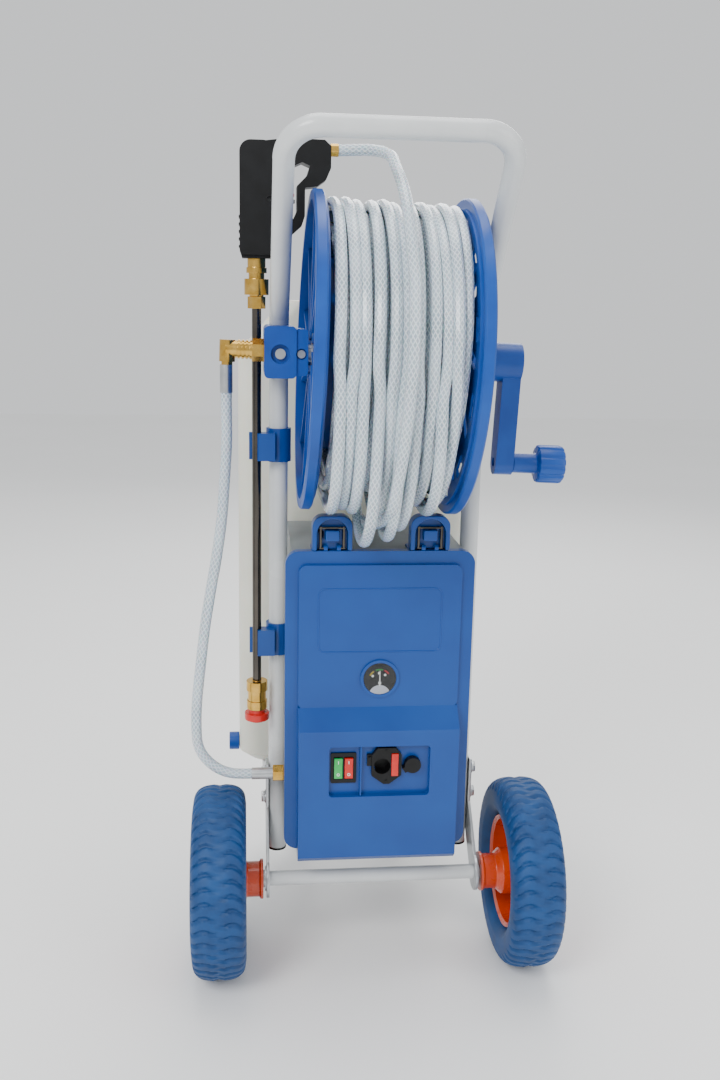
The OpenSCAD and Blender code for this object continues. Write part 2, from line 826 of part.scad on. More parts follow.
// Face of a latch plate: square foot, rounded upper corners
module latch_face(h) {
    round_rect(latch_w, h, 14);
    translate([-latch_w / 2, -h / 2]) square([latch_w, h / 2]);
}

// Wire bail: inward pivots, two legs and a cross wire over the nose
module latch_bail(s) {
    r = bail_d / 2;
    half = bail_w / 2;
    color("silver") translate([s * latch_x, bail_y, bail_z]) {
        for (t = [-1, 1]) {
            translate([t * half, 0, 0]) cylinder(r = r, h = bail_h - 2);
            xbar(r, t > 0 ? 6 : -half - r, t > 0 ? half + r : -6);
        }
        translate([0, 0, bail_h]) xbar(r, -half - r, half + r);
        for (t = [-1, 1]) translate([t * half, 0, 0]) cylinder(r = r + 0.2, h = bail_h + r);
    }
}

module latch_bail_left() latch_bail(-1);
module latch_bail_right() latch_bail(1);

// ---- controls on the cover ----

module gauge_bezel() {
    r = gauge_d / 2;
    color("royalblue") translate([gauge_x, 0, gauge_z]) difference() {
        union() {
            ybar(r + 3, cover_panel - 3, cover_panel);
            ybar(r - 2, cover_panel, cover_panel + 12);
        }
        ybar(r - 1, cover_panel - 4, cover_panel - 1);
    }
    color("black") translate([gauge_x, 0, gauge_z]) ybar(r - 1.5, cover_panel - 1.5, cover_panel - 1);
}

module gauge_needle() {
    y0 = cover_panel - 2.6;
    color("white") translate([gauge_x, 0, gauge_z - 6]) {
        stand(y0, y0 + 0.8) polygon([[-0.9, -4], [0.9, -4], [0.4, 17], [-0.4, 17]]);
        ybar(2, y0, y0 + 1);
    }
}

module switch_frame() {
    color("black") translate([switch_x, 0, switch_z]) difference() {
        union() {
            stand(recess_y - 3, recess_y) round_rect(switch_w, switch_h, 2);
            stand(recess_y - 1, recess_y + 12)
                square([switch_w - 4.2, switch_h - 4.2], center = true);
        }
        for (s = [-1, 1]) translate([s * 7, 0, 0]) stand(recess_y - 4, recess_y + 6)
            square([rocker_w + 0.8, rocker_h + 2.4], center = true);
    }
}

// Rocker whose face is a shallow V; it tips about X at the frame's face
module rocker(w, h, x, z) {
    translate([x, 0, z]) {
        side(-w / 2, w / 2) polygon([[recess_y - 5.5, -h / 2 + 0.5], [recess_y - 4, 0],
            [recess_y - 5.5, h / 2 - 0.5], [recess_y - 1.5, h / 2 - 0.5], [recess_y + 3, 2],
            [recess_y + 3, -2], [recess_y - 1.5, -h / 2 + 0.5]]);
        translate([0, recess_y - 1, 0])
            xbar(rocker_pin_r, -w / 2 - rocker_pin_out, w / 2 + rocker_pin_out);
    }
}

module rocker_green() color("limegreen") rocker(rocker_w, rocker_h, switch_x - 7, switch_z);
module rocker_red() color("crimson") rocker(rocker_w, rocker_h, switch_x + 7, switch_z);

// Socket body: eight-sided flange with a pointed foot, round well and a side tab
module charge_socket() {
    w = socket_w / 2;
    h = socket_h / 2;
    color("black") translate([socket_x, 0, socket_z]) difference() {
        union() {
            stand(recess_y - 7, recess_y) polygon([[-w + 8, h], [w - 8, h], [w, h - 10],
                [w, -h + 12], [4, -h], [-4, -h], [-w, -h + 12], [-w, h - 10]]);
            stand(recess_y - 5, recess_y) translate([-w - 6, 0]) square([8, 16]);
            stand(recess_y - 1, recess_y + 16) circle(15.9);
        }
        translate([-6, 0, 0]) ybar(11, recess_y - 8, recess_y + 10);
        translate([socket_rocker_x - socket_x, 0, 2]) stand(recess_y - 8, recess_y - 1)
            square([9.8, 32.8], center = true);
    }
    color("silver") for (p = [[0, h - 3.5], [0, -h + 4], [-w - 2.5, 12]])
        translate([socket_x + p.x, 0, socket_z + p.y]) ybar(1.8, recess_y - 8, recess_y - 4);
}

module socket_rocker() {
    w = 9;
    color("crimson") translate([socket_rocker_x, 0, socket_z + 2]) {
        side(-w / 2, w / 2) polygon([[recess_y - 8.8, -15.6], [recess_y - 7.6, 0],
            [recess_y - 8.8, 15.6], [recess_y - 5.2, 15.6], [recess_y - 2.6, 2],
            [recess_y - 2.6, -2], [recess_y - 5.2, -15.6]]);
        translate([0, recess_y - 4, 0])
            xbar(rocker_pin_r, -w / 2 - rocker_pin_out, w / 2 + rocker_pin_out);
    }
}

module flow_knob() {
    r = flow_knob_r;
    color("black") translate([knob_x, 0, knob_z]) {
        ybar(r, recess_y - 10, recess_y - 0.4);
        stand(recess_y - 10, recess_y - 0.4) rotate(-60) translate([-4, -r - 3]) square([8, r + 3]);
        ybar(4 - run_gap, recess_y - 1, recess_y + 12);
    }
}

// ---- tank ----

// Tank block of width w and depth d, with shoulders that slope in to the neck
module tank_block(w, d, r, z0, h, up) {
    translate([tank_x, tank_y, 0]) hull() {
        translate([0, 0, z0 + 16]) linear_extrude(h - 16) round_rect(w, d, r);
        translate([0, 0, z0]) linear_extrude(4) round_rect(w - 30, d - 30, r);
        translate([0, 0, z0 + h + up - 4]) linear_extrude(4) round_rect(w * 0.62, d - 26, r - 6);
    }
}

module water_tank() {
    t = tank_wall;
    top = tank_bottom + tank_body_h + shoulder_h;
    color("antiquewhite") difference() {
        union() {
            tank_block(tank_w, tank_depth, tank_corner, tank_bottom, tank_body_h, shoulder_h);
            translate([tank_x, tank_y, top - 6]) cylinder(r = neck_r, h = neck_h + 6);
            translate([tank_x - tank_w / 2, drain_y, drain_z]) xbar(spout_r, -6, 4);
        }
        tank_block(tank_w - 2 * t, tank_depth - 2 * t, tank_corner - t, tank_bottom + t,
            tank_body_h - t, shoulder_h - t);
        translate([tank_x, tank_y, top - 12]) cylinder(r = neck_r - t, h = neck_h + 20);
    }
}

module tank_cap() {
    top = tank_bottom + tank_body_h + shoulder_h;
    color("royalblue") translate([tank_x, tank_y, top + cap_lift]) difference() {
        cylinder(r = cap_r, h = cap_h);
        translate([0, 0, -1]) cylinder(r = neck_r + 0.4, h = neck_h + 1.4);
    }
}

module drain_cap() {
    x1 = tank_x - tank_w / 2 - 0.4;
    color("royalblue") translate([0, drain_y, drain_z]) difference() {
        xbar(drain_r, x1 - 16, x1);
        xbar(spout_r + 0.4, x1 - 7, x1 + 1);
    }
}

// ---- gun and lance ----

// Ring round the upright with a fork that holds the lance and opens to the left
module lance_clip(z) {
    reach = [lance_x + upright_x, lance_y - upright_y];
    grip = lance_r + 0.05;
    translate([-upright_x, upright_y, z - clip_h / 2]) difference() {
        union() {
            cylinder(r = tube_r + clip_wall, h = clip_h);
            translate([reach.x, reach.y, 3]) cylinder(r = lance_r + 4.5, h = clip_h - 8);
            translate([reach.x, reach.y, 3]) translate([-10, grip, 0]) cube([28, 4, clip_h - 8]);
            translate([reach.x, reach.y, 3]) translate([0, -grip - 4, 0])
                cube([24, 2 * grip + 8, clip_h - 8]);
        }
        translate([0, 0, -1]) cylinder(r = tube_r, h = clip_h + 2);
        translate([reach.x, reach.y, -1]) cylinder(r = grip, h = clip_h + 2);
        translate([reach.x - 40, reach.y - grip, -1]) cube([40, 2 * grip, clip_h + 2]);
        translate([reach.x - 40, reach.y - 30, -1]) cube([41, 30, clip_h + 2]);
    }
}

module lance_clips() {
    color("royalblue") for (z = clip_zs) lance_clip(z);
}

// Outline of the gun in XZ, from the barrel's centreline; the guard keeps left of the reel
// until it is above the flange
module gun_outline() {
    difference() {
        polygon([[-18, 2], [18, 2], [22, 12], [56, 42], [60, 54], [60, 88], [75, 90], [86, 98],
            [92, 112], [92, 138], [84, 145], [40, 146], [10, 142], [-9, 141], [-21, 126],
            [-21, 12]]);
        polygon([[24, 32], [46, 51], [50, 60], [50, 90], [62, 102], [66, 114], [56, 118], [34, 108],
            [24, 96]]);
    }
}

module gun_body() {
    color("dimgray") difference() {
        union() {
            translate([lance_x, 0, gun_z]) stand(lance_y - gun_t / 2, lance_y + gun_t / 2)
                gun_outline();
            translate([lance_x, 0, gun_z + 74]) stand(lance_y - 20, lance_y + 20) {
                round_rect(42, 136, 14);
                translate([0, -34]) round_rect(42, 68, 6);
            }
        }
        translate([trigger_x - 6, lance_y - 5.4, trigger_z - 14]) cube([22, 10.8, 40]);
        translate([lance_x, lance_y, gun_z - 1]) cylinder(r = 5, h = 70);
        translate([trigger_x, 0, trigger_z]) ybar(trigger_pin_r + run_gap, lance_y - 30, lance_y + 30);
    }
}

module gun_trigger() {
    color("gray") difference() {
        translate([trigger_x, 0, trigger_z]) {
            ybar(trigger_pin_r, lance_y - 12, lance_y + 12);
            stand(lance_y - 5, lance_y + 5) polygon([[-3, -5], [10, -6], [32, -3], [32, 1], [10, 5],
                [-3, 5]]);
        }
        translate([catch_x, 0, catch_z]) ybar(latch_pin_r + run_gap, lance_y - 20, lance_y + 20);
        translate([catch_x - 4, lance_y - 3.9, catch_z - 3]) cube([36, 7.8, 12]);
    }
}

// Red safety catch that lies along the trigger
module gun_latch() {
    color("red") translate([catch_x, 0, catch_z]) {
        ybar(latch_pin_r, lance_y - 4.8, lance_y + 4.8);
        stand(lance_y - 3.5, lance_y + 3.5) polygon([[-2, -2], [4, -1.8], [6, 3], [17, 4], [17, 7.5],
            [3, 7], [-2, 2]]);
    }
}

// Brass inlet on the grip, and the outlet rings, coupler and nut above the lance
module gun_fittings() {
    color("goldenrod") {
        translate([lance_x + 92, lance_y, 1102]) xbar(8, 0, 10);
        translate([lance_x, lance_y, 0]) difference() {
            union() {
                translate([0, 0, 958]) cylinder(r = 11.5, h = 11);
                translate([0, 0, 951]) cylinder(r = 13, h = 7);
                translate([0, 0, 944]) cylinder(r = 10, h = 7);
                translate([0, 0, 924]) cylinder(r = 15.5, h = 20);
                zhex(20, 907, 922);
                translate([0, 0, 921]) cylinder(r = 9, h = 4);
            }
            translate([0, 0, 900]) cylinder(r = lance_r, h = 22);
        }
    }
}

module lance() {
    color("silver") translate([lance_x, lance_y, 0]) difference() {
        translate([0, 0, lance_bottom - 6]) cylinder(r = lance_r, h = lance_top - lance_bottom + 6);
        translate([0, 0, lance_bottom - 7]) cylinder(r = lance_r - 2, h = lance_top - lance_bottom + 8);
    }
    color("goldenrod") translate([lance_x, lance_y, 0]) difference() {
        union() {
            translate([0, 0, 392]) cylinder(r = 14.5, h = 14);
            translate([0, 0, 378]) cylinder(r = 12.5, h = 14);
            translate([0, 0, 366]) cylinder(r = 14, h = 12);
        }
        translate([0, 0, lance_bottom - 6]) cylinder(r = lance_r, h = 30);
        translate([0, 0, 365]) cylinder(r = 5 + run_gap, h = 26);
    }
}

module spray_nozzle() {
    color("red") translate([lance_x, lance_y, 0]) difference() {
        union() {
            translate([0, 0, 350]) cylinder(r = 17, h = 10);
            translate([0, 0, 347]) cylinder(r = 11, h = 18.7);
            translate([0, 0, 350]) cylinder(r = 5, h = 38);
        }
        translate([0, 0, 346]) cylinder(r = 1.2, h = 50);
    }
}

upright_left();
upright_right();
handle_bow();
tube_caps();
lower_crossbar();
axle_tube();
axle_bracket_left();
axle_bracket_right();
axle_rod();
axle_washers();
axle_nuts();
shelf_frame();
stand_feet();
tyre_left();
tyre_right();
rim_left();
rim_right();
bearing_block_left();
bearing_block_right();
bearing_screws();
reel_shaft();
reel_drum();
flange_left();
flange_right();
crank_arm();
crank_knob();
hose_winding();
hose_loose();
hose_tail();
swivel_joint();
elbow();
feed_hose();
outlet_fitting();
housing();
battery();
pump();
control_board();
front_cover();
cover_pin();
latch_plates();
latch_bail_left();
latch_bail_right();
gauge_bezel();
gauge_needle();
switch_frame();
rocker_green();
rocker_red();
charge_socket();
socket_rocker();
flow_knob();
water_tank();
tank_cap();
drain_cap();
lance_clips();
gun_body();
gun_trigger();
gun_latch();
gun_fittings();
lance();
spray_nozzle();
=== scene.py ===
import json
import math

import bpy
import numpy as np
from mathutils import Matrix, Vector


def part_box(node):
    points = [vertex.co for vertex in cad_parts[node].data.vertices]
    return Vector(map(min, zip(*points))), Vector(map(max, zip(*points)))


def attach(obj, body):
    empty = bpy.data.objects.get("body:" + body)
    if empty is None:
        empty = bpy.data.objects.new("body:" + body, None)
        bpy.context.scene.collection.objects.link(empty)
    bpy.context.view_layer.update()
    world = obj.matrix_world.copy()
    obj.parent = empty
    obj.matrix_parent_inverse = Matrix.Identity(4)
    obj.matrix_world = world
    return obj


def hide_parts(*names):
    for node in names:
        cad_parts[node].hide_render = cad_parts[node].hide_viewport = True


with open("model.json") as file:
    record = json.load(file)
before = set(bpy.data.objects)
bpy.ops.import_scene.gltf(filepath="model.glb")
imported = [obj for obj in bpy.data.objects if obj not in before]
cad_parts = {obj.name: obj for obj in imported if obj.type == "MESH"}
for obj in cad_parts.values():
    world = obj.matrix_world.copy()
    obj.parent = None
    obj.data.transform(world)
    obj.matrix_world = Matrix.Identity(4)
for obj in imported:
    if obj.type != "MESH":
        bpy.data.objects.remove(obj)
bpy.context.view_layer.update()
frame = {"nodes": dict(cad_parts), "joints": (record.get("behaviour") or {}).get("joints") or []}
nodes = frame["nodes"]
mm = 0.001


def middle(node):
    low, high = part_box(node)
    return (low + high) / 2


def jointOf(name):
    return next(j for j in frame["joints"] if j["name"] == name)


axlePlace = middle("axle_rod")
tubePlace = middle("upright_left")
reelPlace = Vector(jointOf("reel_spin")["pos_m"])
reelAxis = Vector(jointOf("reel_spin")["axis"])
reelLean = math.atan2(-reelAxis.z, reelAxis.x)
reelFrame = Matrix.Translation(reelPlace) @ Matrix.Rotation(reelLean, 4, "Y")


# Small tools for modelling

def deselectAll():
    bpy.ops.object.select_all(action="DESELECT")


def makeActive(piece):
    deselectAll()
    piece.select_set(True)
    bpy.context.view_layer.objects.active = piece


def startEdit():
    bpy.ops.object.mode_set(mode="EDIT")
    bpy.ops.mesh.select_all(action="SELECT")


def endEdit():
    bpy.ops.object.mode_set(mode="OBJECT")


def applied(piece, kind, **settings):
    makeActive(piece)
    modifier = piece.modifiers.new(kind.title(), kind)
    for key, value in settings.items():
        setattr(modifier, key, value)
    bpy.ops.object.modifier_apply(modifier=modifier.name)


def settle(piece, turn=None):
    # the place goes into the mesh, so the object itself stays at the origin
    if turn is not None:
        bpy.context.view_layer.update()
        piece.matrix_world = turn @ piece.matrix_world
    makeActive(piece)
    bpy.ops.object.transform_apply(location=True, rotation=True, scale=True)


def finished(piece, body, material, replaced=(), smooth=35):
    settle(piece)
    bpy.ops.object.shade_smooth_by_angle(angle=math.radians(smooth))
    piece.data.materials.clear()
    piece.data.materials.append(material)
    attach(piece, body)
    if replaced:
        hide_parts(*replaced)
    return piece


def paintFaces(piece, material, chosen):
    # faces whose middle passes the test take a further material
    piece.data.materials.append(material)
    slotNumber = len(piece.data.materials) - 1
    for face in piece.data.polygons:
        if chosen(face.center):
            face.material_index = slotNumber


def rounded(piece, width, segments=2, angle=30):
    applied(piece, "BEVEL", width=width * mm, segments=segments, limit_method="ANGLE",
            angle_limit=math.radians(angle), use_clamp_overlap=True, miter_outer="MITER_ARC")


def softened(node, name, width, segments=2, angle=30):
    # a merged copy of a hard part with its edges broken, as a mould or a file leaves them
    source = nodes[node]
    piece = bpy.data.objects.new(name, source.data.copy())
    bpy.context.scene.collection.objects.link(piece)
    makeActive(piece)
    bpy.ops.mesh.customdata_custom_splitnormals_clear()
    startEdit()
    bpy.ops.mesh.remove_doubles(threshold=0.00002)
    bpy.ops.mesh.dissolve_limited(angle_limit=math.radians(1))
    endEdit()
    rounded(piece, width, segments, angle)
    return piece


def turned(name, outline, axis="X", centre=(0, 0, 0), steps=64):
    # outline is (radius, along) in millimetres; it is drawn point by point and spun round the axis
    deselectAll()
    bpy.ops.mesh.primitive_plane_add(size=0.001)
    piece = bpy.context.active_object
    piece.name = name
    startEdit()
    bpy.ops.mesh.merge(type="CENTER")
    bpy.ops.transform.translate(value=(outline[0][0] * mm, 0, outline[0][1] * mm))
    for before, after in zip(outline, outline[1:]):
        step = ((after[0] - before[0]) * mm, 0, (after[1] - before[1]) * mm)
        bpy.ops.mesh.extrude_region_move(TRANSFORM_OT_translate={"value": step})
    bpy.ops.mesh.select_all(action="SELECT")
    bpy.ops.mesh.spin(steps=steps, angle=math.tau, axis=(0, 0, 1), center=(0, 0, 0))
    bpy.ops.mesh.select_all(action="SELECT")
    bpy.ops.mesh.remove_doubles(threshold=0.00001)
    bpy.ops.mesh.normals_make_consistent(inside=False)
    endEdit()
    turn = {"X": (0, math.pi / 2, 0), "Y": (-math.pi / 2, 0, 0), "Z": (0, 0, 0)}[axis]
    piece.rotation_euler = turn
    piece.location = centre
    settle(piece)
    return piece


def block(name, size, centre, width=1.0, segments=2):
    deselectAll()
    bpy.ops.mesh.primitive_cube_add(size=1, location=centre)
    piece = bpy.context.active_object
    piece.name = name
    piece.scale = Vector(size) * mm
    settle(piece)
    rounded(piece, width, segments)
    return piece


def tube(name, places, radius, sides, closed=False):
    # a round bar along a line of places
    line = bpy.data.curves.new(name, "CURVE")
    line.dimensions = "3D"
    spline = line.splines.new("POLY")
    spline.points.add(len(places) - 1)
    for point, place in zip(spline.points, places):
        point.co = (*place, 1)
    spline.use_cyclic_u = closed
    line.bevel_depth = radius
    line.bevel_resolution = sides
    line.use_fill_caps = not closed
    piece = bpy.data.objects.new(name, line)
    bpy.context.scene.collection.objects.link(piece)
    makeActive(piece)
    bpy.ops.object.convert(target="MESH")
    return bpy.context.active_object


def flattened(piece):
    # wide faces stay flat beside their rounded edges
    applied(piece, "WEIGHTED_NORMAL", keep_sharp=True)


def joined(pieces, name):
    deselectAll()
    for piece in pieces:
        piece.select_set(True)
    bpy.context.view_layer.objects.active = pieces[0]
    bpy.ops.object.join()
    pieces[0].name = name
    return pieces[0]


# Materials

def tint(hexCode):
    # sRGB hex to linear colour
    parts = [int(hexCode[k:k + 2], 16) / 255 for k in (0, 2, 4)]
    return [c / 12.92 if c <= 0.04045 else ((c + 0.055) / 1.055) ** 2.4 for c in parts] + [1.0]


def addNode(tree, kind, sockets=None, **settings):
    node = tree.nodes.new(kind)
    for key, value in settings.items():
        setattr(node, key, value)
    for key, value in (sockets or {}).items():
        if isinstance(value, bpy.types.NodeSocket):
            tree.links.new(value, node.inputs[key])
        else:
            node.inputs[key].default_value = value
    return node


def calc(tree, operation, a, b=0.0):
    return addNode(tree, "ShaderNodeMath", {0: a, 1: b}, operation=operation).outputs[0]


def newMaterial(name):
    material = bpy.data.materials.new(name)
    material.use_nodes = True
    tree = material.node_tree
    shader = next(n for n in tree.nodes if n.type == "BSDF_PRINCIPLED")
    coords = addNode(tree, "ShaderNodeTexCoord")
    return material, tree, shader, coords


def mottle(tree, coords, sizeMm, low, high, detail=3.0):
    # slow change between two colours, patches of about sizeMm
    noise = addNode(tree, "ShaderNodeTexNoise", {"Vector": coords.outputs["Object"],
                    "Scale": 1 / (sizeMm * mm), "Detail": detail, "Roughness": 0.55})
    ramp = addNode(tree, "ShaderNodeValToRGB", {"Fac": noise.outputs["Fac"]})
    ramp.color_ramp.elements[0].position = 0.3
    ramp.color_ramp.elements[1].position = 0.7
    ramp.color_ramp.elements[0].color = tint(low)
    ramp.color_ramp.elements[1].color = tint(high)
    return ramp.outputs["Color"], noise.outputs["Fac"]


def grain(tree, shader, coords, sizeMm, height, strength=1.0):
    noise = addNode(tree, "ShaderNodeTexNoise", {"Vector": coords.outputs["Object"],
                    "Scale": 1 / (sizeMm * mm), "Detail": 2.0})
    bump = addNode(tree, "ShaderNodeBump", {"Height": noise.outputs["Fac"], "Strength": strength,
                   "Distance": height * mm})
    tree.links.new(bump.outputs["Normal"], shader.inputs["Normal"])
    return bump


def roughRange(tree, shader, fac, low, high):
    spread = addNode(tree, "ShaderNodeMapRange", {"Value": fac, "To Min": low, "To Max": high})
    tree.links.new(spread.outputs["Result"], shader.inputs["Roughness"])


def setShader(shader, **values):
    names = {"rough": "Roughness", "metal": "Metallic", "ior": "IOR", "coat": "Coat Weight",
             "coatRough": "Coat Roughness", "clear": "Transmission Weight",
             "glow": "Subsurface Weight", "glowScale": "Subsurface Scale"}
    for key, value in values.items():
        shader.inputs[names[key]].default_value = value


def madeOf(name, low, high, patchMm, grainMm, height, rough, **more):
    # what every opaque finish shares: two close colours, a fine grain and uneven gloss
    material, tree, shader, coords = newMaterial(name)
    colour, fac = mottle(tree, coords, patchMm, low, high)
    tree.links.new(colour, shader.inputs["Base Color"])
    grain(tree, shader, coords, grainMm, height)
    roughRange(tree, shader, fac, *rough)
    setShader(shader, **more)
    return material


def plastic(name, low, high, patchMm=60, grainMm=1.2, height=0.02, rough=(0.28, 0.36), ior=1.46,
            **more):
    return madeOf(name, low, high, patchMm, grainMm, height, rough, ior=ior, **more)


def metal(name, low, high, patchMm=25, grainMm=0.6, height=0.01, rough=(0.2, 0.32)):
    return madeOf(name, low, high, patchMm, grainMm, height, rough, metal=1.0)


# threadCore and threadEdge are half the width of a thread, sharp and faded, as shares of a repeat
braidFacts = {"strands": 8.0, "repeatMm": 9.0, "threadCore": 0.08, "threadEdge": 0.18,
              "wallDark": "98a8b3", "wallPale": "b6c4ce", "thread": "d6e0e6"}


def braidedHose():
    # clear PVC hose with a polyester braid: milky wall, paler threads that cross at a steep angle;
    # the threads are drawn coarser than real ones, which are too fine to show
    material, tree, shader, coords = newMaterial("braidedPvcHose")
    facts = braidFacts
    place = addNode(tree, "ShaderNodeSeparateXYZ", {"Vector": coords.outputs["UV"]})
    threads = []
    for side in (1, -1):
        turn = calc(tree, "MULTIPLY", place.outputs["Y"], facts["strands"] * side)
        wave = calc(tree, "PINGPONG", calc(tree, "ADD", turn, place.outputs["X"]), 0.5)
        thread = addNode(tree, "ShaderNodeMapRange", {"Value": wave, "To Min": 1.0, "To Max": 0.0,
                         "From Min": facts["threadCore"], "From Max": facts["threadEdge"]})
        threads.append(thread.outputs["Result"])
    both = calc(tree, "MAXIMUM", *threads)
    wall = mottle(tree, coords, 45, facts["wallDark"], facts["wallPale"])[0]
    mix = addNode(tree, "ShaderNodeMixRGB", {"Fac": both, "Color1": wall,
                  "Color2": tint(facts["thread"])})
    tree.links.new(mix.outputs["Color"], shader.inputs["Base Color"])
    bump = addNode(tree, "ShaderNodeBump", {"Height": both, "Strength": 0.35,
                   "Distance": 0.2 * mm})
    tree.links.new(bump.outputs["Normal"], shader.inputs["Normal"])
    setShader(shader, rough=0.24, ior=1.5, coat=0.4, coatRough=0.1, glow=0.25, glowScale=0.004)
    return material


# powder coat on steel tube: soft gloss with a slight orange peel
whitePaint = plastic("whitePowderCoat", "c6c9ca", "d5d8d8", patchMm=90, grainMm=2.5, height=0.03,
                     rough=(0.22, 0.3), coat=0.2)
# moulded ABS: even colour with a satin sheen
blueAbs = plastic("blueMouldedAbs", "003b86", "004592", patchMm=120, grainMm=1.0, height=0.015,
                  rough=(0.24, 0.34))
# moulded nylon: a little duller than ABS, with a finer grain
blueNylon = plastic("blueNylon", "003f92", "004ba2", patchMm=50, grainMm=0.8, height=0.025,
                    rough=(0.3, 0.42))
# foamed rubber from a mould: dull and faintly dusty
blueRubber = plastic("blueFoamRubber", "033668", "07457e", patchMm=30, grainMm=1.6, height=0.06,
                     rough=(0.5, 0.66))
# enamel sprayed on pressed steel: deep gloss over a slightly wavy face
orangeEnamel = plastic("orangeEnamel", "c23808", "d04612", patchMm=40, grainMm=2.0, height=0.03,
                       rough=(0.22, 0.34), coat=0.4)
# glass-filled nylon: the fibres break up its highlights
blackNylon = plastic("blackGlassNylon", "060607", "0d0e10", patchMm=20, grainMm=0.7, height=0.05,
                     rough=(0.36, 0.5), ior=1.36)
# ABS from a polished mould: small sharp highlights
blackGloss = plastic("blackGlossAbs", "050506", "0a0b0c", patchMm=30, grainMm=1.4, height=0.008,
                     rough=(0.12, 0.2), ior=1.36)
# textured paint on sheet steel: matt and pebbled
greyPaint = plastic("greyTexturedPaint", "7d8284", "8f9496", patchMm=70, grainMm=1.6, height=0.05,
                    rough=(0.42, 0.55))
# moulded nylon: plain grey with a satin sheen
greyNylon = plastic("greyNylon", "6a6c6e", "7b7d7f", patchMm=20, grainMm=0.8, height=0.03,
                    rough=(0.35, 0.45))
# coloured ABS: bright, and light passes a little way into the red
redAbs = plastic("redAbs", "c0201a", "d42c22", patchMm=15, grainMm=0.8, height=0.01,
                 rough=(0.2, 0.28), glow=0.05, glowScale=0.001)
greenAbs = plastic("greenAbs", "1e9a46", "2bb257", patchMm=15, grainMm=0.8, height=0.01,
                   rough=(0.2, 0.28))
# blow-moulded polyethylene: milky and waxy, light passes into it
naturalPe = plastic("naturalPolyethylene", "d9d6c8", "e6e3d6", patchMm=140, grainMm=3.0,
                    height=0.08, rough=(0.38, 0.5), glow=0.2, glowScale=0.01)
# machined brass: warm, bright and a little uneven in gloss
brass = metal("machinedBrass", "c2953f", "d9b05c", patchMm=12, rough=(0.16, 0.3))
# zinc plating: cool and cloudy
zinc = metal("zincPlatedSteel", "b2b5b8", "c9cbcc", patchMm=18, rough=(0.25, 0.4))
# dark nickel on drawn tube: smooth, takes long reflections
nickel = metal("nickelTube", "4b4743", "5d5852", patchMm=60, height=0.004, rough=(0.14, 0.24))
hosePvc = braidedHose()
# printed ink: flat white
inkWhite = plastic("whitePrint", "e9e9e6", "f2f2ef", patchMm=8, rough=(0.4, 0.5))
# epoxy glass laminate: green with a low sheen
circuitGreen = plastic("greenLaminate", "12562f", "1b6b3c", patchMm=9, rough=(0.3, 0.4))


def clearLens():
    # polycarbonate window: clear and glossy
    material, tree, shader, coords = newMaterial("clearPolycarbonate")
    grain(tree, shader, coords, 4.0, 0.01)
    setShader(shader, rough=0.03, ior=1.3, clear=1.0)   # thin window: little glare
    shader.inputs["Base Color"].default_value = tint("f6f8f8")
    return material


dialFacts = {"radius": 21.8, "arcIn": 13.5, "arcOut": 15.5, "arcDrop": 2.0, "footRadius": 14.3,
             "footDrop": 23.5, "dialAhead": 1.53, "lensAhead": 2.8,
             "dotRadius": 1.7, "dots": ((-9.5, 3.7), (-1.0, 7.5), (7.0, 5.0)),
             "arcs": ((-72, -38, "b9a12a"), (-26, 18, "2f8f3c"), (28, 62, "b3262a"))}


def printedDial(centre):
    # black dial with three arcs, three pale lamps and a pale foot, drawn about its centre
    material, tree, shader, coords = newMaterial("printedDial")
    facts = dialFacts
    place = addNode(tree, "ShaderNodeSeparateXYZ", {"Vector": coords.outputs["Object"]})
    x = calc(tree, "MULTIPLY", calc(tree, "SUBTRACT", place.outputs["X"], centre.x), 1 / mm)
    z = calc(tree, "MULTIPLY", calc(tree, "SUBTRACT", place.outputs["Z"], centre.z), 1 / mm)

    def distance(x0, z0):
        dx = calc(tree, "SUBTRACT", x, x0)
        dz = calc(tree, "SUBTRACT", z, z0)
        square = calc(tree, "ADD", calc(tree, "MULTIPLY", dx, dx), calc(tree, "MULTIPLY", dz, dz))
        return calc(tree, "SQRT", square)

    fromMiddle = distance(0.0, -facts["arcDrop"])
    angle = calc(tree, "ARCTAN2", x, z)
    onArc = calc(tree, "MULTIPLY", calc(tree, "GREATER_THAN", fromMiddle, facts["arcIn"]),
                 calc(tree, "LESS_THAN", fromMiddle, facts["arcOut"]))
    colour, fac = mottle(tree, coords, 12, "0b0b0c", "141416")
    layers = []
    for low, high, code in facts["arcs"]:
        inside = calc(tree, "MULTIPLY", calc(tree, "GREATER_THAN", angle, math.radians(low)),
                      calc(tree, "LESS_THAN", angle, math.radians(high)))
        layers.append((calc(tree, "MULTIPLY", inside, onArc), code))
    for dot in facts["dots"]:
        layers.append((calc(tree, "LESS_THAN", distance(*dot), facts["dotRadius"]), "eef0ee"))
    foot = distance(0.0, -facts["footDrop"])
    layers.append((calc(tree, "LESS_THAN", foot, facts["footRadius"]), "cfd0da"))
    for share, code in layers:
        mixed = addNode(tree, "ShaderNodeMixRGB", {"Fac": share, "Color1": colour,
                        "Color2": tint(code)})
        colour = mixed.outputs["Color"]
    tree.links.new(colour, shader.inputs["Base Color"])
    roughRange(tree, shader, fac, 0.35, 0.45)
    setShader(shader, ior=1.3)
    return material


lensClear = clearLens()
print("materials made")


# Camera: in front and a little to the left, just above the reel's hub, looking slightly down;
# x from the middle, y from the axle, z from the floor, in millimetres

cameraLook = {"x": -174.55, "y": -1374.85, "z": 925.36, "yaw": 6.15, "pitch": 12.70, "roll": 1.17,
              "lens": 36.085}


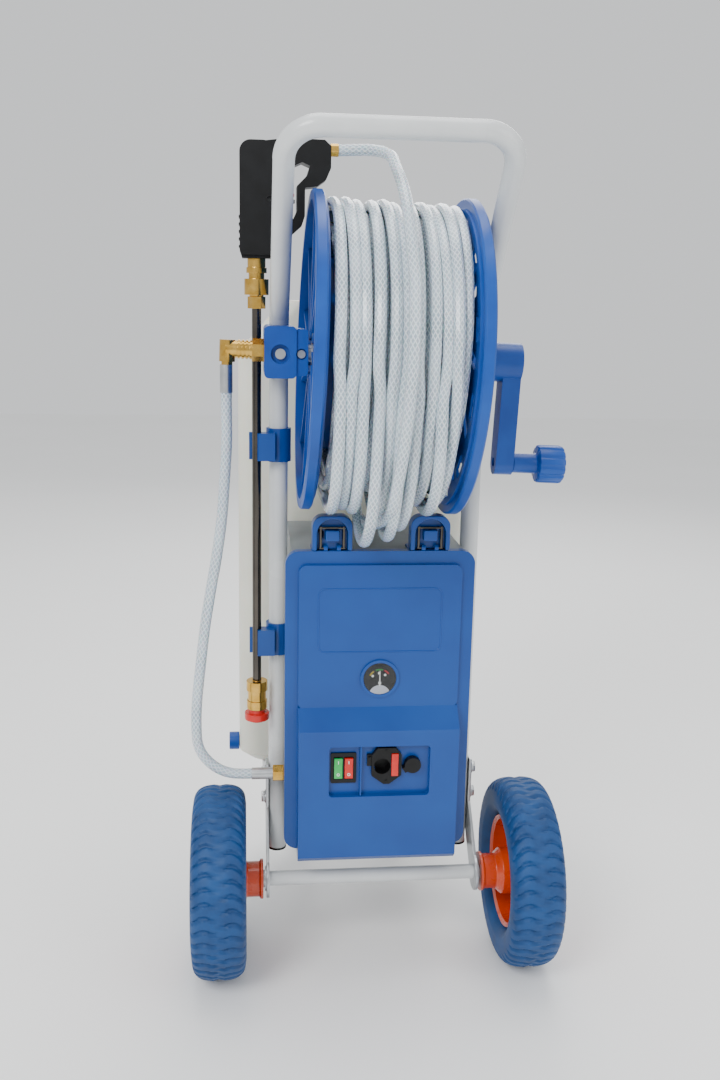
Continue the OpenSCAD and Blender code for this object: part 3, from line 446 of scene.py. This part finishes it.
def addCamera():
    yaw, pitch, roll = (math.radians(cameraLook[k]) for k in ("yaw", "pitch", "roll"))
    ahead = Vector((math.sin(yaw) * math.cos(pitch), math.cos(yaw) * math.cos(pitch),
                    -math.sin(pitch)))
    flat = Vector((math.cos(yaw), -math.sin(yaw), 0))
    above = flat.cross(ahead)
    right = math.cos(roll) * flat + math.sin(roll) * above
    up = -math.sin(roll) * flat + math.cos(roll) * above
    deselectAll()
    bpy.ops.object.camera_add()
    camera = bpy.context.active_object
    camera.name = "camera"
    camera.data.lens = cameraLook["lens"]
    camera.data.sensor_width = 36
    place = Vector((cameraLook["x"] * mm, axlePlace.y + cameraLook["y"] * mm,
                    cameraLook["z"] * mm))
    turn = Matrix((right, up, -ahead)).transposed().to_4x4()
    camera.matrix_world = Matrix.Translation(place) @ turn
    bpy.context.scene.camera = camera


addCamera()
print("camera set")


# Hoses

def cordLength(points):
    return sum((b - a).length for a, b in zip(points, points[1:]))


def evenly(points, spacing):
    # the same line with points at an even spacing
    total = cordLength(points)
    count = max(2, round(total / spacing))
    wanted = [total * k / count for k in range(count + 1)]
    out, run, k = [], 0.0, 0
    for a, b in zip(points, points[1:]):
        span = (b - a).length
        while k <= count and wanted[k] <= run + span + 1e-9:
            out.append(a.lerp(b, (wanted[k] - run) / span if span else 0))
            k += 1
        run += span
    return out


def curved(points, parts=8):
    # smooth line through given points
    out = []
    padded = [points[0] * 2 - points[1]] + points + [points[-1] * 2 - points[-2]]
    for k in range(1, len(padded) - 2):
        p0, p1, p2, p3 = padded[k - 1:k + 3]
        for s in range(parts):
            t = s / parts
            out.append(0.5 * (2 * p1 + (p2 - p0) * t + (2 * p0 - 5 * p1 + 4 * p2 - p3) * t * t
                              + (3 * p1 - p0 - 3 * p2 + p3) * t ** 3))
    return out + [points[-1]]


def hosePiece(name, points, diameter, sides=3):
    piece = tube(name, points, diameter / 2, sides)
    # U runs along the hose and counts the braid's repeats, V runs round it
    uv = np.zeros(len(piece.data.loops) * 2, np.float32)
    piece.data.uv_layers[0].data.foreach_get("uv", uv)
    uv[0::2] *= cordLength(points) / (braidFacts["repeatMm"] * mm)
    piece.data.uv_layers[0].data.foreach_set("uv", uv)
    return piece


reelHose = {
    "diameter": 0.014,
    "tightRadius": 151, "tightTurns": 11, "halfWidth": 75,
    "innerRadius": 167, "innerTurns": 11, "climb": 0.97,   # the inner layer climbs after this share
    "outerRadius": 182.5, "outerTurns": 10, "wander": 2.4, "swell": 1.5,
    "sag": (10, 38, 16, 40, 58, 34, 64, 52, 28, 40, 12, 26),   # how far each outer turn hangs
    "gap": 34,   # turns nearer the middle than this hang between the latch plates
    "middleHang": (237, 50), "sideHang": (223, 42),   # lowest angle and half the arc that hangs
    "sideSag": 40,   # most that a turn beside the plates hangs
    # the last turn crosses over the others: degrees turned, place along the reel, radius
    "lastTurn": ((0, -75, 184), (50, -66, 196), (100, -48, 197), (140, -34, 199), (170, -24, 205),
                 (200, -12, 218), (225, 0, 234), (250, 6, 210), (275, 8, 203), (290, 8, 200),
                 (302, 8, 203)),
}


def onReel(x, radius, angle):
    # angle 0 is at the back, 90 on top, 180 at the front
    a = math.radians(angle)
    return reelFrame @ Vector((x * mm, radius * mm * math.cos(a), radius * mm * math.sin(a)))


def hang(x, angle, sag):
    facts = reelHose
    middleTurn = abs(x) < facts["gap"]
    centre, half = facts["middleHang"] if middleTurn else facts["sideHang"]
    away = abs((angle % 360) - centre) / half
    if away >= 1:
        return 0
    most = sag if middleTurn else min(sag, facts["sideSag"])
    return most * math.cos(away * math.pi / 2) ** 2


# The tail up to the gun and the feed down to the pump's outlet, in millimetres:
# x from the middle, y from the axle, z from the floor
tailRoute = [(8, -132, 1003), (8, -112, 1024), (7, -86, 1045), (5, -60, 1063), (3, -36, 1077),
             (2, -17, 1087), (0, -1, 1093), (-6, 14, 1098), (-16, 27, 1101), (-29, 36.7, 1102.5),
             (-44, 43, 1102.5), (-58.5, 45, 1102)]
feedRoute = [(-199, 12, 803), (-199, 12, 780), (-199, 10, 740), (-202, 8, 690), (-206, 6, 640),
             (-213, 5, 590), (-221, 4, 545), (-229, 4, 495), (-235, 5, 445), (-240, 7, 400),
             (-242, 9, 370), (-242, 11, 341), (-240, 13, 325), (-234, 15, 310), (-224, 17, 297),
             (-211, 18, 287), (-196, 19, 281), (-180, 20, 279), (-168, 20, 279)]


def fromAxle(route):
    return [Vector((x * mm, axlePlace.y + y * mm, z * mm)) for x, y, z in route]


def tightTurns():
    facts, points = reelHose, []
    steps = facts["tightTurns"] * 48
    for k in range(steps + 1):
        t = k / steps
        x = facts["halfWidth"] * (1 - 2 * t)
        points.append(onReel(x, facts["tightRadius"], -360 * facts["tightTurns"] * t))
    return points


def slackTurns():
    facts, points = reelHose, []
    wide = facts["halfWidth"]
    steps = facts["innerTurns"] * 60
    for k in range(steps):   # inner layer, left to right
        t = k / steps
        turn = facts["innerTurns"] * t
        angle = 90 - 360 * turn
        share = max(0, (t - facts["climb"]) / (1 - facts["climb"]))
        rise = share * (facts["outerRadius"] - facts["innerRadius"])
        points.append(onReel(-wide + 2 * wide * t, facts["innerRadius"] + rise, angle))
    steps = facts["outerTurns"] * 72
    for k in range(steps):   # outer layer, right to left, each turn with its own sag
        t = k / steps
        turn = facts["outerTurns"] * t
        angle = 90 - 360 * turn
        x = wide - 2 * wide * t
        x += facts["wander"] * math.sin(math.radians(angle) + 1.9 * int(turn + 0.25))
        which = int(turn) % len(facts["sag"])
        radius = facts["outerRadius"] + facts["swell"] * math.sin(2.3 * turn)
        radius += hang(x, angle, facts["sag"][which])
        points.append(onReel(x, radius, angle))
    last = facts["lastTurn"]
    for (d0, x0, r0), (d1, x1, r1) in zip(last, last[1:]):
        for s in range(6):
            t = s / 6
            ease = t * t * (3 - 2 * t)
            angle = 90 - (d0 + (d1 - d0) * t)
            points.append(onReel(x0 + (x1 - x0) * ease, r0 + (r1 - r0) * ease, angle))
    return points


def addHoses():
    size = reelHose["diameter"]
    tight = evenly(tightTurns(), 0.014)
    piece = hosePiece("hoseTight", tight, size, sides=2)
    finished(piece, "reel", hosePvc, ["hose_winding"])

    slack = evenly(curved(slackTurns()[::2], 3) + curved(fromAxle(tailRoute))[1:], 0.010)
    piece = hosePiece("hoseSlack", slack, size)
    finished(piece, "trolley", hosePvc, ["hose_loose", "hose_tail"])

    feed = evenly(curved(fromAxle(feedRoute)), 0.006)
    print("hose lengths:", *(round(cordLength(line), 2) for line in (tight, slack, feed)))
    piece = hosePiece("hoseFeed", feed, size, sides=5)
    finished(piece, "trolley", hosePvc, ["feed_hose"])


addHoses()
print("hoses made")


# Tyres

tyreFacts = {"radius": 130, "bead": 77, "halfWidth": 36, "square": 2.9, "grooves": 44,
             "grooveDepth": 3.6, "grooveShare": 0.17, "grooveBend": 0.55, "treadFrom": 112,
             "centreLine": 2.2, "lineDepth": 1.6, "rings": (104, 92), "ringHeight": 0.6}


def tyreOutline():
    facts = tyreFacts
    half = (facts["radius"] - facts["bead"]) / 2
    centre = facts["bead"] + half
    power = 2 / facts["square"]
    points = []
    for k in range(61):
        a = math.tau * k / 60
        c, s = math.cos(a), math.sin(a)
        points.append((centre + half * math.copysign(abs(s) ** power, s),
                       facts["halfWidth"] * math.copysign(abs(c) ** power, c)))
    return points


def addTyre(side):
    facts = tyreFacts
    place = middle("tyre_" + side)
    piece = turned("tyre" + side.title(), tyreOutline(), "X", place, steps=528)
    count = len(piece.data.vertices)
    co = np.zeros(count * 3)
    piece.data.vertices.foreach_get("co", co)
    co = co.reshape(-1, 3)
    x = (co[:, 0] - place.x) / mm
    y, z = co[:, 1] - place.y, co[:, 2] - place.z
    radius = np.hypot(y, z) / mm
    angle = np.arctan2(z, y)
    across = np.abs(x) / facts["halfWidth"]
    phase = angle / math.tau * facts["grooves"] + np.where(x > 0, 0.5, 0.0)
    phase += facts["grooveBend"] * np.sin(across * math.pi * 1.1)   # bends as it runs outwards
    away = np.abs(phase - np.floor(phase) - 0.5)
    groove = np.clip((facts["grooveShare"] - away) / 0.06, 0, 1)
    onTread = np.clip((np.abs(x) - 4.5) / 2, 0, 1)
    onTread = onTread * np.clip((radius - facts["treadFrom"]) / 5, 0, 1)
    middleLine = np.clip((facts["centreLine"] - np.abs(x)) / 1.0, 0, 1) * (radius > 120)
    outer, inner = (np.clip(1.5 - np.abs(radius - ringAt), 0, 1) for ringAt in facts["rings"])
    ring = outer * 1.2 + inner
    drop = facts["grooveDepth"] * groove * onTread + facts["lineDepth"] * middleLine
    scale = 1 - drop / np.maximum(radius, 1)
    co[:, 1] = place.y + y * scale
    co[:, 2] = place.z + z * scale
    co[:, 0] += np.sign(x) * ring * facts["ringHeight"] * mm
    piece.data.vertices.foreach_set("co", co.reshape(-1))
    piece.data.update()
    finished(piece, "wheel_" + side, blueRubber, ["tyre_" + side], smooth=50)


for side in ("left", "right"):
    addTyre(side)
print("tyres made")


# Hard parts with broken edges: node, body, material, slot, edge width in millimetres

hardParts = [
    ("rim_left", "wheel_left", orangeEnamel, "orange_rim", 1.2),
    ("rim_right", "wheel_right", orangeEnamel, "orange_rim", 1.2),
    ("bearing_block_left", "trolley", blueNylon, "blue_plastic", 2.0),
    ("bearing_block_right", "trolley", blueNylon, "blue_plastic", 2.0),
    ("flange_left", "reel", blueNylon, "blue_plastic", 0.8),
    ("flange_right", "reel", blueNylon, "blue_plastic", 0.8),
    ("crank_arm", "reel", blueNylon, "blue_plastic", 3.0),
    ("front_cover", "cover", blueAbs, "blue_plastic", 2.2),
    ("latch_plates", "trolley", blueAbs, "blue_plastic", 1.6),
    ("lance_clips", "trolley", blueAbs, "blue_plastic", 1.0),
    ("tank_cap", "filler_cap", blueNylon, "blue_plastic", 2.0),
    ("drain_cap", "drain_plug", blueNylon, "blue_plastic", 1.5),
    ("housing", "trolley", greyPaint, "grey_housing", 1.5),
    ("water_tank", "trolley", naturalPe, "natural_tank", 5.0),
    ("gun_trigger", "trigger", greyNylon, "grey_plastic", 0.8),
    ("gun_latch", "safety_catch", redAbs, "red_plastic", 0.5),
    ("gun_fittings", "gun_and_lance", brass, "brass", 0.8),
    ("lance", "gun_and_lance", nickel, "chrome_lance", 0.6),
    ("spray_nozzle", "nozzle", redAbs, "red_plastic", 1.2),
    ("swivel_joint", "trolley", brass, "brass", 0.7),
    ("elbow", "trolley", brass, "brass", 1.0),
    ("outlet_fitting", "trolley", brass, "brass", 0.8),
    ("axle_bracket_left", "trolley", zinc, "zinc_steel", 0.6),
    ("axle_bracket_right", "trolley", zinc, "zinc_steel", 0.6),
    ("axle_nuts", "trolley", zinc, "zinc_steel", 0.8),
    ("switch_frame", "cover", blackGloss, "black_plastic", 0.5),
    ("rocker_green", "green_rocker", greenAbs, "green_rocker", 0.5),
    ("rocker_red", "red_rocker", redAbs, "red_plastic", 0.5),
    ("charge_socket", "cover", blackNylon, "black_plastic", 0.6),
    ("socket_rocker", "inlet_rocker", redAbs, "red_plastic", 0.5),
    ("flow_knob", "knob", blackNylon, "black_plastic", 0.8),
    ("gauge_bezel", "cover", blueAbs, "blue_plastic", 1.0),
]

keptNodes = [
    ("upright_left", whitePaint), ("upright_right", whitePaint), ("handle_bow", whitePaint),
    ("lower_crossbar", whitePaint), ("axle_tube", whitePaint), ("shelf_frame", whitePaint),
    ("tube_caps", blackNylon), ("stand_feet", blackNylon), ("axle_rod", zinc),
    ("axle_washers", zinc), ("bearing_screws", zinc), ("reel_shaft", zinc),
    ("reel_drum", blueNylon), ("battery", blackNylon),
    ("pump", greyNylon), ("control_board", circuitGreen), ("cover_pin", zinc),
    ("latch_bail_left", nickel), ("latch_bail_right", nickel), ("gauge_needle", inkWhite),
]


def pieceName(node):
    words = node.split("_")
    return words[0] + "".join(w.title() for w in words[1:])


lancePlace = middle("lance")
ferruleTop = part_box("elbow")[0].z + 26 * mm
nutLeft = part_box("outlet_fitting")[0].x + 28.5 * mm
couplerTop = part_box("lance")[0].z + 40.5 * mm
secondMaterials = {
    "elbow": (zinc, lambda c: c.z < ferruleTop),
    "outlet_fitting": (zinc, lambda c: c.x < nutLeft),
    "lance": (brass, lambda c: c.z < couplerTop),
}

for node, body, material, slotName, width in hardParts:
    piece = softened(node, pieceName(node), width)
    finished(piece, body, material, [node])
    flattened(piece)
    if node in secondMaterials:
        paintFaces(piece, *secondMaterials[node])
for node, material in keptNodes:
    nodes[node].data.materials.clear()
    nodes[node].data.materials.append(material)
print("hard parts finished")


# Gun: the shell with moulded ribs on its lower left edge

gunRibs = {"count": 5, "first": 14, "step": 9, "radius": 2.2, "length": 30, "sunk": 0.9}


def addGun():
    facts = gunRibs
    shell = softened("gun_body", "gunBody", 5.0, segments=4)
    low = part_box("gun_body")[0]
    side = low.x + facts["sunk"] * mm
    half, radius = facts["length"] / 2, facts["radius"]
    ribs = []
    for k in range(facts["count"]):
        place = (side, lancePlace.y, low.z + (facts["first"] + facts["step"] * k) * mm)
        ribs.append(turned("rib", [(0, -half), (radius * 0.6, -half), (radius, -half + 1.5),
                    (radius, half - 1.5), (radius * 0.6, half), (0, half)], "Y", place, steps=20))
    piece = joined([shell] + ribs, "gunBody")
    finished(piece, "gun_and_lance", blackNylon, ["gun_body"])
    flattened(piece)


addGun()
print("gun finished")


# Cover: raised outline on the panel, divider in the recess, the gauge's dial and lens

coverFacts = {"ridgeWide": 162, "ridgeHigh": 86, "ridgeMiddle": 511, "ridgeCorner": 9,
              "ridgeWidth": 2.2, "ridgeRise": 0.7, "dividerX": -24, "dividerThick": 2.4,
              "dividerHigh": 71, "recessZ": 308.5, "recessDepth": 9}
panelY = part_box("gauge_bezel")[0].y + 3 * mm
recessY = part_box("switch_frame")[0].y + 3 * mm
gaugePlace = middle("gauge_bezel")


def ridgeLine(facts):
    wide, high, corner = facts["ridgeWide"] / 2, facts["ridgeHigh"] / 2, facts["ridgeCorner"]
    points = []
    for sx, sz, start in ((1, 1, 0), (-1, 1, 90), (-1, -1, 180), (1, -1, 270)):
        for k in range(7):
            a = math.radians(start + 15 * k)
            points.append((sx * (wide - corner) + corner * math.cos(a),
                           sz * (high - corner) + corner * math.sin(a)))
    return points


def addRidge():
    facts = coverFacts
    places = [(x * mm, panelY, (facts["ridgeMiddle"] + z) * mm) for x, z in ridgeLine(facts)]
    piece = tube("coverRidge", places, facts["ridgeWidth"] / 2 * mm, 3, closed=True)
    startEdit()
    flat = facts["ridgeRise"] / (facts["ridgeWidth"] / 2)
    bpy.ops.transform.resize(value=(1, flat, 1), center_override=(0, panelY, 0))
    endEdit()
    finished(piece, "cover", blueAbs, smooth=60)


def addGauge():
    facts = dialFacts
    dial = printedDial(gaugePlace)
    centre = (gaugePlace.x, panelY - facts["dialAhead"] * mm, gaugePlace.z)
    radius = facts["radius"]
    piece = turned("gaugeDial", [(0, -0.04), (radius - 0.3, -0.04), (radius, 0), (radius, 0.1),
                   (0, 0.1)], "Y", centre)
    finished(piece, "cover", dial)
    centre = (gaugePlace.x, panelY - facts["lensAhead"] * mm, gaugePlace.z)
    piece = turned("gaugeLens", [(0, -0.15), (radius - 0.6, -0.15), (radius, -0.02), (radius, 0.12),
                   (0, 0.12)], "Y", centre)
    finished(piece, "cover", lensClear)


def addDivider():
    facts = coverFacts
    size = (facts["dividerThick"], facts["recessDepth"] - 1.5, facts["dividerHigh"])
    centre = (facts["dividerX"] * mm, recessY - size[1] / 2 * mm, facts["recessZ"] * mm)
    piece = block("recessDivider", size, centre, 0.6)
    finished(piece, "cover", blueAbs)


addRidge()
addGauge()
addDivider()
print("cover details made")


# Marks on the rockers: a stroke and a ring on each

markFacts = {"stroke": (0.9, 0.5, 4.2), "ringIn": 1.3, "ringOut": 2.0, "ringHalf": 0.25,
             "away": 8.5, "sunk": 0.35}


def addMarks():
    facts = markFacts
    inner, outer, half = facts["ringIn"], facts["ringOut"], facts["ringHalf"]
    outline = [(inner, -half), (outer, -half), (outer, half), (inner, half), (inner, -half)]
    for node, body in (("rocker_green", "green_rocker"), ("rocker_red", "red_rocker")):
        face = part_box(node)[0].y + facts["sunk"] * mm
        centre = middle(node)
        above = (centre.x, face, centre.z + facts["away"] * mm)
        below = (centre.x, face, centre.z - facts["away"] * mm)
        stroke = block(pieceName(node) + "Stroke", facts["stroke"], above, 0.15)
        ring = turned(pieceName(node) + "Ring", outline, "Y", below, steps=24)
        piece = joined([stroke, ring], pieceName(node) + "Marks")
        finished(piece, body, inkWhite)


addMarks()


# Valve stems, one on each tyre's outer face

valveFacts = {"radius": 58, "length": 16, "body": 3.4, "cap": 4.1}


def addValve(side):
    facts = valveFacts
    place = middle("tyre_" + side)
    away = 1 if side == "right" else -1
    body, cap, length = facts["body"], facts["cap"], facts["length"]
    outline = [(0, 0), (body + 2, 0), (body + 1.4, 2.5), (body, 4), (body, length - 7),
               (cap, length - 6.6), (cap, length - 0.6), (cap - 0.6, length), (0, length)]
    piece = turned("valve" + side.title(), [(r, away * h) for r, h in outline], "X",
                   (place.x + away * 1.5 * mm, place.y, place.z + facts["radius"] * mm), steps=24)
    finished(piece, "wheel_" + side, blackNylon)


for side in ("left", "right"):
    addValve(side)


# Bolts that hold each bracket plate to its upright

boltFacts = {"across": 15, "head": 6, "washer": 9.5, "washerThick": 1.4, "drops": (54, 16)}


def addBolts(side):
    facts = boltFacts
    low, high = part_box("axle_bracket_" + side)
    away = 1 if side == "right" else -1
    face = high.x if side == "right" else low.x
    corner = facts["across"] / math.sqrt(3)
    bolts = []
    thick = facts["washerThick"] * away
    for drop in facts["drops"]:
        centre = (face, tubePlace.y, high.z - drop * mm)
        head = turned("bolt", [(0, 0), (corner, 0), (corner, facts["head"] * away),
                      (0, facts["head"] * away)], "X", centre, steps=6)
        rounded(head, 0.8)
        plate = turned("washer", [(0, 0), (facts["washer"], 0), (facts["washer"], thick),
                       (0, thick)], "X", centre, steps=32)
        rounded(plate, 0.3)
        bolts += [head, plate]
    piece = joined(bolts, "bracketBolts" + side.title())
    finished(piece, "trolley", zinc)


for side in ("left", "right"):
    addBolts(side)


# Crank knob: a turned handle whose head has flutes for the fingers

knobFacts = {"flutes": 12, "depth": 1.7, "arm": -130, "start": 177.8, "neck": 33, "head": 36}


def addKnob():
    facts = knobFacts
    start = facts["start"]
    front = start + facts["neck"]
    end = front + facts["head"]
    outline = [(0, start), (11, start), (13, start + 1.4), (13, front - 3), (14.5, front - 1),
               (22, front), (24.3, front + 1.3), (25, front + 3.6), (25, end - 6),
               (24.4, end - 3), (22.6, end - 1.2), (20.5, end - 0.5), (17, end - 0.5),
               (16, end - 1.4), (0, end - 1.8)]
    piece = turned("crankKnob", outline, "X", steps=192)
    for vertex in piece.data.vertices:
        place = vertex.co
        radius = math.hypot(place.y, place.z)
        if radius > 20 * mm:
            wave = max(0, math.cos(facts["flutes"] * math.atan2(place.z, place.y)) - 0.2) / 0.8
            share = 1 - facts["depth"] * mm * wave ** 0.6 / radius
            place.y, place.z = place.y * share, place.z * share
    settle(piece, reelFrame @ Matrix.Translation((0, 0, facts["arm"] * mm)))
    finished(piece, "crank_handle", blueNylon, ["crank_knob"], smooth=40)


addKnob()
print("small parts made")


# Floor and light

def addStage():
    deselectAll()
    bpy.ops.mesh.primitive_plane_add(size=14, location=(0, 0, 0))
    floor = bpy.context.active_object
    floor.name = "floor"
    material, tree, shader, coords = newMaterial("paleFloor")
    colour = mottle(tree, coords, 900, "f6f6f5", "f9f9f8")[0]
    tree.links.new(colour, shader.inputs["Base Color"])
    setShader(shader, rough=0.7)
    floor.data.materials.append(material)
    world = bpy.data.worlds.new("studio")
    bpy.context.scene.world = world
    world.use_nodes = True
    world.node_tree.nodes["Background"].inputs["Color"].default_value = tint("f4f6f8")
    world.node_tree.nodes["Background"].inputs["Strength"].default_value = 0.95
    lamps = [("keyLight", (-1.6, -2.4, 2.6), 1.3, 78), ("fillLight", (2.2, -1.8, 1.6), 1.8, 20),
             ("topLight", (0.1, 0.3, 3.2), 1.8, 40), ("backLight", (0.6, 2.6, 2.2), 1.6, 30)]
    for name, place, size, power in lamps:
        deselectAll()
        bpy.ops.object.light_add(type="AREA", location=place)
        lamp = bpy.context.active_object
        lamp.name = name
        lamp.data.size = size
        lamp.data.energy = power
        aim = Vector((0, 0, 0.6)) - Vector(place)
        lamp.rotation_euler = aim.to_track_quat("-Z", "Y").to_euler()


addStage()
print("stage lit")
